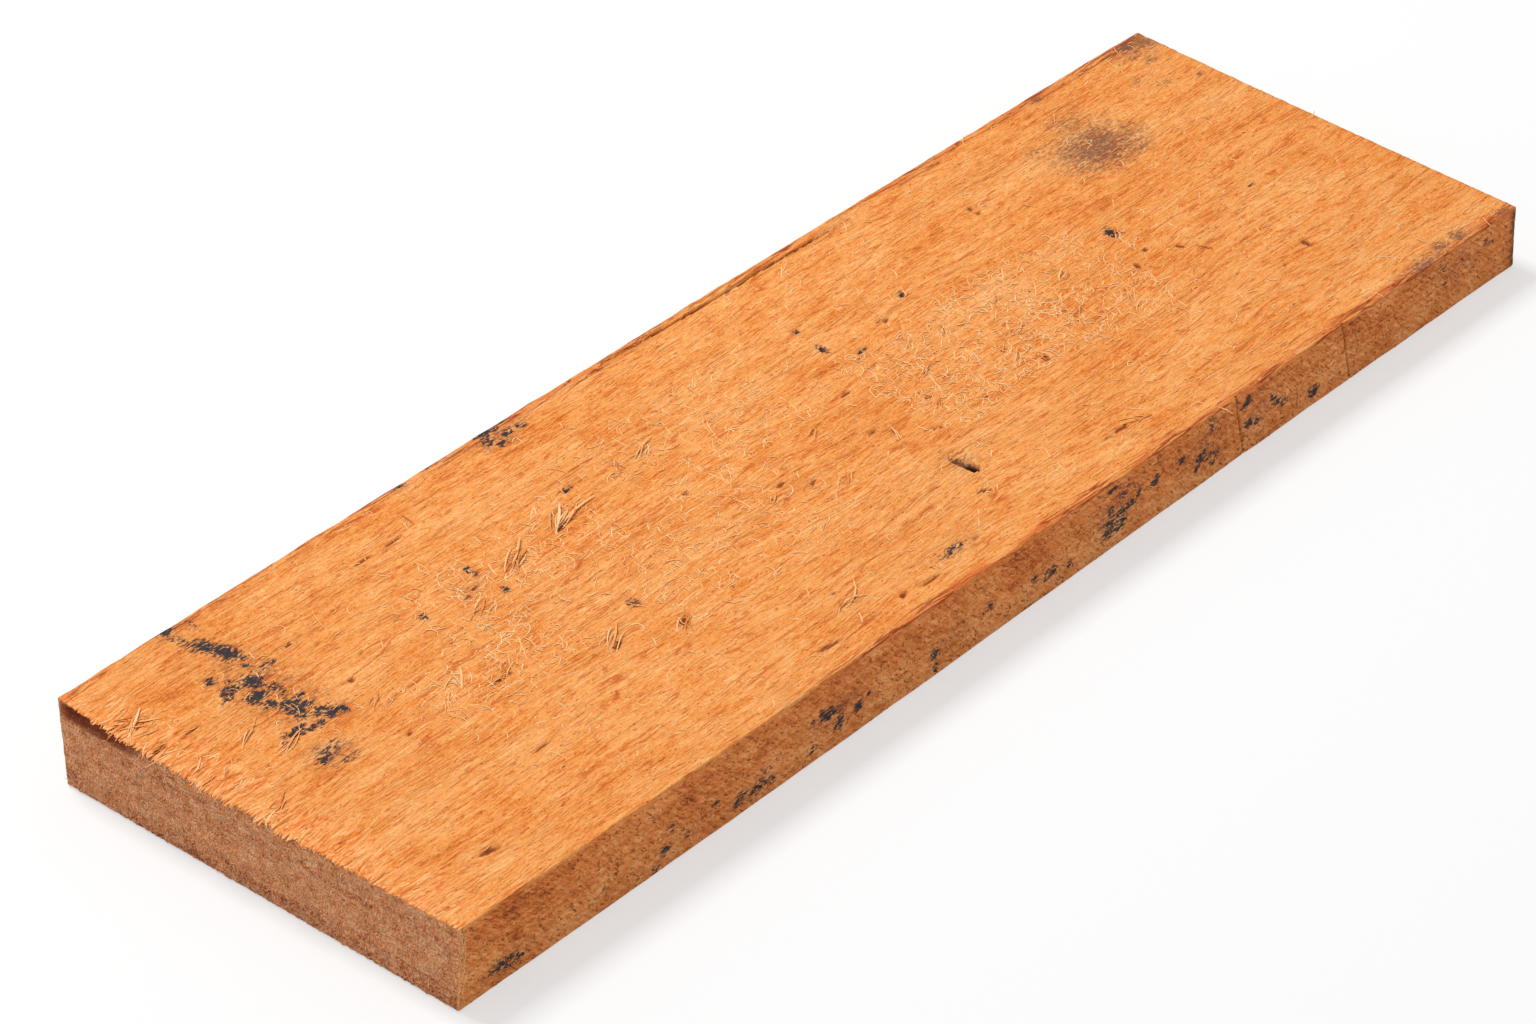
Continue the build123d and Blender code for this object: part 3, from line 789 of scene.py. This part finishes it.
# Loose fibres, each a thin closed sliver that narrows towards both ends. A pair is the least and the
# most of something, headings and curls are in degrees, and tones run from 0, dark, to 1, light.
fibres = {
    "sections": 5,
    "roundness": 0.16,         # how high each one is, to half its width
    "highest": 28.2,           # nothing stands above this
    "sunk": 0.06,              # how far the ends lie in the wood
}
# woolly patches: along, across, half length, half width, share of the curled fibres
woolPatches = (
    (316, 74, 38, 24, 0.27), (368, 70, 20, 26, 0.12), (135, 100, 40, 14, 0.12), (95, 72, 28, 14, 0.08),
    (30, 106, 32, 20, 0.02), (190, 62, 40, 22, 0.09), (222, 104, 34, 20, 0.07), (280, 75, 215, 72, 0.23),
)
# bigger slivers as they are seen: root, tip (along, across), how high the tip stands, width, bend in degrees
slivers = (
    (82.0, 72.4, 90.4, 79.9, 0.75, 0.75, 14), (72.5, 68.7, 79.0, 74.5, 0.7, 0.6, -20),
    (98.3, 68.7, 105, 75.0, 0.8, 0.6, 18), (96.0, 70.0, 101, 73.0, 0.6, 0.5, -60),
    (110.8, 91.2, 120.8, 97.0, 1.0, 0.65, 24), (113, 90.0, 119, 92.6, 0.4, 0.5, -50),
    (132.5, 98.5, 149.5, 108.5, 1.4, 0.9, 10), (134.5, 98.2, 146.0, 104.0, 0.9, 0.7, -22),
    (157, 102, 170, 111, 1.5, 0.95, 14), (160, 103.5, 180, 107.5, 1.0, 0.8, -18),
    (194, 109.5, 199, 116, 1.3, 0.6, 20), (202, 110, 215, 115, 1.2, 0.7, -16),
    (205, 108, 211, 112, 0.8, 0.5, 40), (147.5, 44.5, 156, 52, 1.2, 0.7, 22),
    (145, 46.0, 151, 50.5, 0.8, 0.5, -30), (127, 55, 137, 61.5, 1.1, 0.7, 16),
    (125, 57.5, 131, 60.0, 0.6, 0.5, 50), (185, 18, 201, 24, 0.9, 0.7, 60),
    (131.5, 133.5, 133, 140, 0.5, 0.55, 20), (145, 66.5, 149.4, 61.6, 0.3, 0.7, 0),
    (316.7, 16.6, 327.5, 13.3, 0.4, 0.9, 12), (88.2, 22.0, 88.6, 12.5, 0.2, 0.4, 26),
    (311.4, 114, 312.6, 106, 0.3, 0.4, -20), (326, 106, 329, 111, 0.5, 0.5, 25),
    (1.5, 131.5, 14.0, 123.5, 0.5, 0.8, 8), (-1.5, 127.0, 10.0, 129.5, 0.4, 0.7, -14),
    (0.5, 124.0, 13.5, 131.0, 0.8, 0.8, 10), (2.0, 121.5, 12.0, 124.5, 0.4, 0.6, -10),
    (-1.8, 116.0, 7.0, 117.5, 0.3, 0.7, 18), (-1.5, 113.0, 8.5, 110.5, 0.3, 0.6, -20),
    (0.5, 99.5, 9.0, 103.5, 0.6, 0.6, 24), (-1.5, 96.0, 6.0, 93.0, 0.3, 0.6, -30),
    (6, 92.5, 12, 96.5, 0.6, 0.5, 50), (3.5, 72.0, 14.5, 77.0, 0.8, 0.7, 20),
    (-1.2, 70.5, 6.5, 73.5, 0.4, 0.6, -20), (2.0, 74.5, 8.0, 70.0, 0.3, 0.5, 40),
    (21, 99, 33, 105, 0.8, 0.7, 16), (26, 88, 38, 93.5, 0.8, 0.6, -24), (58, 84, 66, 89, 0.7, 0.6, 20),
    (60, 82, 67, 84, 0.5, 0.5, -40), (398.6, 79.6, 402.5, 85.4, 1.0, 0.7, -50),
    (303, 88, 310, 95, 1.6, 0.5, 40), (296, 76, 305, 80, 1.3, 0.5, -50), (318, 84, 323, 92, 1.8, 0.5, 30),
    (332, 70, 341, 72, 1.2, 0.5, 60), (322, 60, 329, 66, 1.6, 0.5, -40), (341, 84, 349, 90, 1.7, 0.5, 50),
    (286, 62, 293, 68, 1.5, 0.5, 24), (355, 62, 363, 69, 2.0, 0.5, 44), (366, 78, 374, 83, 2.0, 0.5, -46),
    (374, 56, 379, 64, 2.2, 0.5, 30), (235, 56, 242, 62, 1.4, 0.5, 36), (247, 80, 254, 84, 1.4, 0.5, -36),
    (264, 60, 269, 67, 1.5, 0.5, 30), (212, 66, 219, 70, 1.2, 0.5, 44),
)


def upperHeight(a, b):
    relief, torn = upperRelief(a, b)
    pitDepth, pitDark = pitMarks(a, b)
    cleft = shakeMark(a, b)
    return faceHeight(a, b) + relief - pitDepth - shake["depth"] * cleft


def strandLines(a, b, heading, reach, lift, curl, standing, droop):
    # centre lines over the upper face: a standing fibre ends in the air, the others arch and come down,
    # and what reaches past the near end bends down
    share = np.linspace(0, 1, fibres["sections"])
    turn = np.radians(heading)[:, None] + np.radians(curl)[:, None] * (share[1:] - 0.5)
    step = (reach / (fibres["sections"] - 1))[:, None]
    still = np.zeros((len(a), 1))
    lineA = a[:, None] + np.concatenate([still, np.cumsum(np.cos(turn) * step, 1)], 1)
    lineB = b[:, None] + np.concatenate([still, np.cumsum(np.sin(turn) * step, 1)], 1)
    arch, stand = np.sin(np.pi * share) ** 0.8, share**1.25
    rise = lift[:, None] * (arch + (stand - arch) * standing[:, None])
    past = np.maximum(-0.4 - lineA, 0)
    below = upperHeight(np.clip(lineA, 0, plank["length"]), np.clip(lineB, 0, plank["width"]))
    z = np.minimum(below + rise - fibres["sunk"] - droop[:, None] * past, fibres["highest"])
    return placeInSpace(lineA, lineB, z)


def strandMesh(name, lines, outward, width, tone, ink, material):
    # a triangle swept along each line, thinner towards its ends and closed there
    count, sections, _ = lines.shape
    forward = np.gradient(lines, axis=1)
    forward /= np.maximum(np.linalg.norm(forward, axis=2, keepdims=True), 1e-6)
    side = np.cross(forward, outward)
    side /= np.maximum(np.linalg.norm(side, axis=2, keepdims=True), 1e-6)
    raised = np.cross(side, forward)
    share = np.linspace(0, 1, sections)
    taper = 0.22 + 0.78 * np.sin(np.pi * (0.06 + 0.88 * share)) ** 0.8
    half = width[:, None, None] * taper[None, :, None] / 2
    crest = lines + raised * half * fibres["roundness"]
    rings = np.stack([lines + side * half, lines - side * half, crest], 2)
    first = np.arange(count)[:, None, None] * sections * 3 + np.arange(sections - 1)[None, :, None] * 3
    corner, following = np.arange(3), (np.arange(3) + 1) % 3
    walls = [first + corner, first + following, first + following + 3, first + corner + 3]
    walls = np.stack(walls, -1).reshape(-1, 4)
    start = np.arange(count)[:, None] * sections * 3
    caps = np.concatenate([start + [2, 1, 0], start + (sections - 1) * 3 + [0, 1, 2]])
    points = (rings.reshape(-1, 3) + shift) * mm
    made = bpy.data.meshes.new(name)
    made.from_pydata(points.tolist(), [], walls.tolist() + caps.tolist())
    made.polygons.foreach_set("use_smooth", [True] * len(made.polygons))
    # a fibre lets light through, so its flanks are lit nearly like the face it lies on
    upright = np.broadcast_to(np.asarray(outward, float), lines.shape)
    normals = np.stack([upright + side * 0.35, upright - side * 0.35, upright], 2).reshape(-1, 3)
    normals /= np.linalg.norm(normals, axis=1, keepdims=True)
    made.normals_split_custom_set_from_vertices(normals.tolist())
    setFloats(made, "tone", np.repeat(tone, sections * 3))
    setFloats(made, "ink", np.repeat(ink, sections * 3))
    piece = bpy.data.objects.new(name, made)
    bpy.context.scene.collection.objects.link(piece)
    piece.data.materials.append(material)
    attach(piece, "root")
    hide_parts("plank")
    print(name + ":", count, "fibres,", len(walls) * 2 + len(caps), "triangles")


def upperStrands(name, a, b, heading, reach, lift, curl, width, standing, droop, tones, seed):
    rng = np.random.default_rng(seed)
    every = np.ones(len(a))
    lines = strandLines(a, b, heading, reach, lift, curl, standing * every, droop * every)
    ink = gathered(lines[:, 0, 0], lines[:, 0, 1], inkOnTop)
    strandMesh(name, lines, (0, 0, 1), width, rng.uniform(*tones, len(a)), ink, woodFibre)


def curlLines(curls, size):
    # short curls on a face of that length: where they are along it, up it and off it
    count, highest = curls["count"], curls["highest"]
    share = np.linspace(0, 1, fibres["sections"])
    turn = np.radians(rng.normal(curls["heading"], 50, count))[:, None]
    turn = turn + np.radians(rng.normal(0, 110, count))[:, None] * (share - 0.5)
    step = rng.uniform(*curls["step"], count)[:, None]
    up = 1 + (highest - 1) * rng.uniform(0, 1, count) ** curls["crowding"]
    along = rng.uniform(2, size - 2, count)[:, None] + np.cumsum(np.cos(turn) * step, 1)
    off = rng.uniform(*curls["lift"], count)[:, None] * np.sin(np.pi * share) - 0.05
    return along, np.clip(up[:, None] + np.cumsum(np.sin(turn) * step, 1), 0.6, highest), off


def someStand(count, share):
    # 1 for that share of them, picked by chance, and 0 for the others
    return rng.choice([0, 1], count, p=[1 - share, share])


woodFibre = fibreMaterial("woodFibre", "upperTones")
rng = np.random.default_rng(11)

combed = {
    "count": 6400,
    "headingSpread": 9,
    "lift": (0.0, 0.08),
    "curlSpread": 20,
    "width": (0.22, 0.42),
    "tones": (0.0, 0.8),
}
# laid along the grain, either way round
count = combed["count"]
flip = rng.choice([0, 180], count)
upperStrands(
    "combedFibres", rng.uniform(3, 497, count), rng.uniform(1.5, 148.5, count),
    rng.normal(0, combed["headingSpread"], count) + flip, rng.lognormal(1.1, 0.45, count),
    rng.uniform(*combed["lift"], count), rng.normal(0, combed["curlSpread"], count),
    rng.uniform(*combed["width"], count), standing=0.0, droop=0.0, tones=combed["tones"], seed=12,
)

woolly = {
    "count": 3600,
    "heading": 32,
    "headingSpread": 60,
    "lift": (0.0, 0.15),
    "curlSpread": 120,
    "width": (0.26, 0.42),
    "standing": 0.08,          # share of them that end in the air
    "tones": (0.45, 1.0),
}
# curled, most of them in the woolly patches
count = woolly["count"]
patch = rng.choice(len(woolPatches), count, p=np.array([p[4] for p in woolPatches]))
centreA, centreB, reachA, reachB, share = np.array(woolPatches)[patch].T
a = np.clip(centreA + reachA * rng.uniform(-1, 1, count), 4, 496)
b = np.clip(centreB + reachB * rng.uniform(-1, 1, count), 3, 147)
room = np.clip(fibres["highest"] - faceHeight(a, b), 0.3, 3)
upperStrands(
    "woollyFibres", a, b, rng.normal(woolly["heading"], woolly["headingSpread"], count),
    rng.lognormal(1.45, 0.4, count), rng.uniform(*woolly["lift"], count) * room**0.6,
    rng.normal(0, woolly["curlSpread"], count), rng.uniform(*woolly["width"], count),
    standing=someStand(count, woolly["standing"]), droop=0.0, tones=woolly["tones"], seed=13,
)

# the slivers, each with a few finer ones beside it
rootA, rootB, tipA, tipB, high, broad, bend = np.array(slivers).T.repeat(4, axis=1)
lead = np.arange(len(rootA)) % 4 == 0
loose = np.where(lead, 0, 1)
rootA, rootB = rootA + loose * rng.normal(0, 1.8, len(lead)), rootB + loose * rng.normal(0, 1.2, len(lead))
tipA, tipB = tipA + loose * rng.normal(0, 2.2, len(lead)), tipB + loose * rng.normal(0, 1.8, len(lead))
runA, runB = tipA - rootA - 1.1 * high, tipB - rootB - 0.85 * high
heading, reach = np.degrees(np.arctan2(runB, runA)), np.hypot(runA, runB)
upperStrands(
    "slivers", rootA, rootB, heading, reach * np.where(lead, 1, 0.7), high,
    bend * np.where(lead, 1, -1.5), broad * np.where(lead, 1, 0.5),
    standing=np.where(lead, 0.75, 0.4), droop=0.3, tones=(0, 1), seed=14,
)

fringe = {
    "count": 1500,
    "rootsWithin": 15,         # of the near end, most of them close to it
    "lift": (0.0, 0.10),
    "curlSpread": 10,
    "width": (0.4, 0.9),
    "standing": 0.15,
    "droop": (0.0, 0.6),       # how steeply one bends down once it is past the end
    "tones": (0.0, 0.75),
}
# combed out over the near end, where it hangs further out in some places than in others
count = fringe["count"]
b = rng.uniform(0.5, 149.5, count)
a = 0.5 + fringe["rootsWithin"] * rng.uniform(0, 1, count) ** 1.6
ragged = smooth(149, 133, b) * (0.35 + 0.65 * smooth(20, 60, b))
hangs = 0.2 + ragged * (0.7 + 1.2 * noise(b / 3.5, 0.5, 91) + rng.uniform(-0.6, 0.8, count))
heading = 180 + rng.normal(0, 6, count) + 8 * noise(b / 6, 0.5, 92)
reach = np.clip(rng.lognormal(1.8, 0.4, count), 1, a + hangs)
upperStrands(
    "endFringe", a, b, heading, reach, rng.uniform(*fringe["lift"], count),
    rng.normal(0, fringe["curlSpread"], count), rng.uniform(*fringe["width"], count),
    standing=someStand(count, fringe["standing"]), droop=rng.uniform(*fringe["droop"], count),
    tones=fringe["tones"], seed=15,
)

cornerFuzz = {
    "count": 500,
    "roots": (1.0, 26.5),      # up the corner
    "standOff": (0.1, 0.9),
    "rise": (-1.6, 1.0),       # from its root to its tip
    "width": (0.2, 0.5),
    "tones": (0.4, 1.0),
}
# the fuzz that the saw left down the near right corner
count = cornerFuzz["count"]
share = np.linspace(0, 1, fibres["sections"])
rootZ = rng.uniform(*cornerFuzz["roots"], count)
swing = rng.uniform(0, np.pi / 2, count)
out = rng.uniform(*cornerFuzz["standOff"], count)[:, None] * np.sin(np.pi * share)
rise = rng.uniform(*cornerFuzz["rise"], count)[:, None] * share
outX, outY = -np.sin(swing)[:, None] * out, -np.cos(swing)[:, None] * out
nearX = rng.uniform(-0.3, 0.9, count)[:, None] + outX + 0.3
rightY = rng.uniform(-0.8, 0.5, count)[:, None] + outY
lines = np.stack([nearX, rightY, np.clip(rootZ[:, None] + rise, 0.3, 27)], -1)
away = np.stack([-np.sin(swing), -np.cos(swing), 0 * swing], -1)[:, None, :]
width, tone = rng.uniform(*cornerFuzz["width"], count), rng.uniform(*cornerFuzz["tones"], count)
# their colours are the fuzz's own, lightened further as a painted highlight because this corner lies in the
# lamp's shade
strandMesh("cornerFuzz", lines, away, width, tone, 0 * tone, fibreMaterial("cornerFibreAndHighlight", "cornerFuzzAndHighlightTones"))

endCurls = {
    "count": 1000,
    "heading": -60,            # 0 points along the face, and 90 straight up it
    "step": (0.25, 0.65),      # from one section to the next
    "highest": 25,
    "crowding": 2.2,           # past 1 they crowd towards the foot
    "lift": (0.05, 0.25),
    "width": (0.2, 0.42),
    "tones": (0.3, 1.0),
}
# short curls that the saw left standing on the near end, but not in the chip
along, up, off = curlLines(endCurls, plank["width"])
relief, chipped = nearRelief(along, up, faceHeight(0, along))
lines = placeInSpace(0 * along, along, up)
lines[:, :, 0] -= relief + off
lines = lines[chipped.max(1) < 0.3]
count = len(lines)
width, tone = rng.uniform(*endCurls["width"], count), rng.uniform(*endCurls["tones"], count)
strandMesh("endCurls", lines, (-1, 0, 0), width, tone, 0 * tone, fibreMaterial("endFibre", "endTones"))

sideCurls = {
    "count": 1700,
    "heading": -40,
    "step": (0.25, 0.65),
    "highest": 21,
    "crowding": 1.0,
    "lift": (0.05, 0.25),
    "width": (0.2, 0.42),
    "tones": (0.0, 1.0),
}
# the same on the right side, clear of the saw scores
along, up, off = curlLines(sideCurls, plank["length"])
relief, cut = rightRelief(along, up)
lines = placeInSpace(along, 0 * along, up)
lines[:, :, 1] -= relief + off
lines = lines[cut.max(1) < 0.1]
count = len(lines)
width, tone = rng.uniform(*sideCurls["width"], count), rng.uniform(*sideCurls["tones"], count)
strandMesh("sideCurls", lines, (0, -1, 0), width, tone, 0 * tone, fibreMaterial("sideFibre", "sideTones"))


timber.data.materials.append(timberMaterial())
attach(timber, "root")
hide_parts("plank")
print("timber material done")

# Camera, as the photograph was taken
camera = {
    "place": (-1116.3, -953.2, 1219.0),    # in the plank's own millimetres
    "heading": 37.54,          # degrees, from the grain towards the left side
    "down": 35.56,
    "roll": 3.388,
    "lens": 164.6,
    "sensor": 36,
}
heading, down = math.radians(camera["heading"]), math.radians(camera["down"])
looking = Vector((math.cos(heading) * math.cos(down), math.sin(heading) * math.cos(down), -math.sin(down)))
eye = bpy.data.objects.new("camera", bpy.data.cameras.new("camera"))
eye.data.sensor_width = camera["sensor"]
eye.data.lens = camera["lens"]
eye.data.clip_end = 50
eye.location = inFrame(*camera["place"])
eye.rotation_mode = "QUATERNION"
roll = Quaternion((0, 0, 1), math.radians(camera["roll"]))
eye.rotation_quaternion = looking.to_track_quat("-Z", "Y") @ roll
bpy.context.scene.collection.objects.link(eye)
bpy.context.scene.camera = eye

# Studio: one soft lamp from beyond the left side, a pale room and a pale floor
studio = {
    "lampFrom": (-0.1, 1.0, 1.8),          # metres
    "lampSize": 0.6,
    "lampPower": 28.5,
    "roomStrength": 0.52,
    "floorSize": 6.0,
    "floorColour": 0.93,
    "floorGlow": 0.55,         # share of plain white that the camera sees in it
}
lamp = bpy.data.objects.new("lamp", bpy.data.lights.new("lamp", "AREA"))
lamp.data.size = studio["lampSize"]
lamp.data.energy = studio["lampPower"]
lamp.location = studio["lampFrom"]
lamp.rotation_mode = "QUATERNION"
lamp.rotation_quaternion = (-Vector(studio["lampFrom"])).to_track_quat("-Z", "Y")
bpy.context.scene.collection.objects.link(lamp)

room = bpy.data.worlds.new("room")
room.use_nodes = True
room.node_tree.nodes["Background"].inputs["Color"].default_value = (1, 1, 1, 1)
room.node_tree.nodes["Background"].inputs["Strength"].default_value = studio["roomStrength"]
bpy.context.scene.world = room

half = studio["floorSize"] / 2
floorMesh = bpy.data.meshes.new("floor")
floorCorners = [(-half, -half, 0), (half, -half, 0), (half, half, 0), (-half, half, 0)]
floorMesh.from_pydata(floorCorners, [], [(0, 1, 2, 3)])
floor = bpy.data.objects.new("floor", floorMesh)
floor.location.z = -0.1 * mm
bpy.context.scene.collection.objects.link(floor)
paper = Recipe("paleFloor")
grey = studio["floorColour"]
paper.shader.inputs["Base Color"].default_value = (grey, grey, grey, 1)
paper.shader.inputs["Roughness"].default_value = 1.0
paper.shader.inputs["Specular IOR Level"].default_value = 0.0
glow = paper.node("ShaderNodeEmission")
light = paper.node("ShaderNodeLightPath")
blend = paper.node("ShaderNodeMixShader")
seen = paper.calc("MAXIMUM", light.outputs["Is Camera Ray"], light.outputs["Is Glossy Ray"])
seen = paper.calc("MAXIMUM", seen, light.outputs["Is Transmission Ray"])
paper.put(blend.inputs[0], paper.calc("MULTIPLY", seen, studio["floorGlow"]))
paper.put(blend.inputs[1], paper.shader.outputs[0])
paper.put(blend.inputs[2], glow.outputs[0])
paper.put(paper.tree.nodes["Material Output"].inputs["Surface"], blend.outputs[0])
floor.data.materials.append(paper.material)
bpy.context.scene.view_settings.view_transform = "Standard"
print("camera, lamp and floor done")
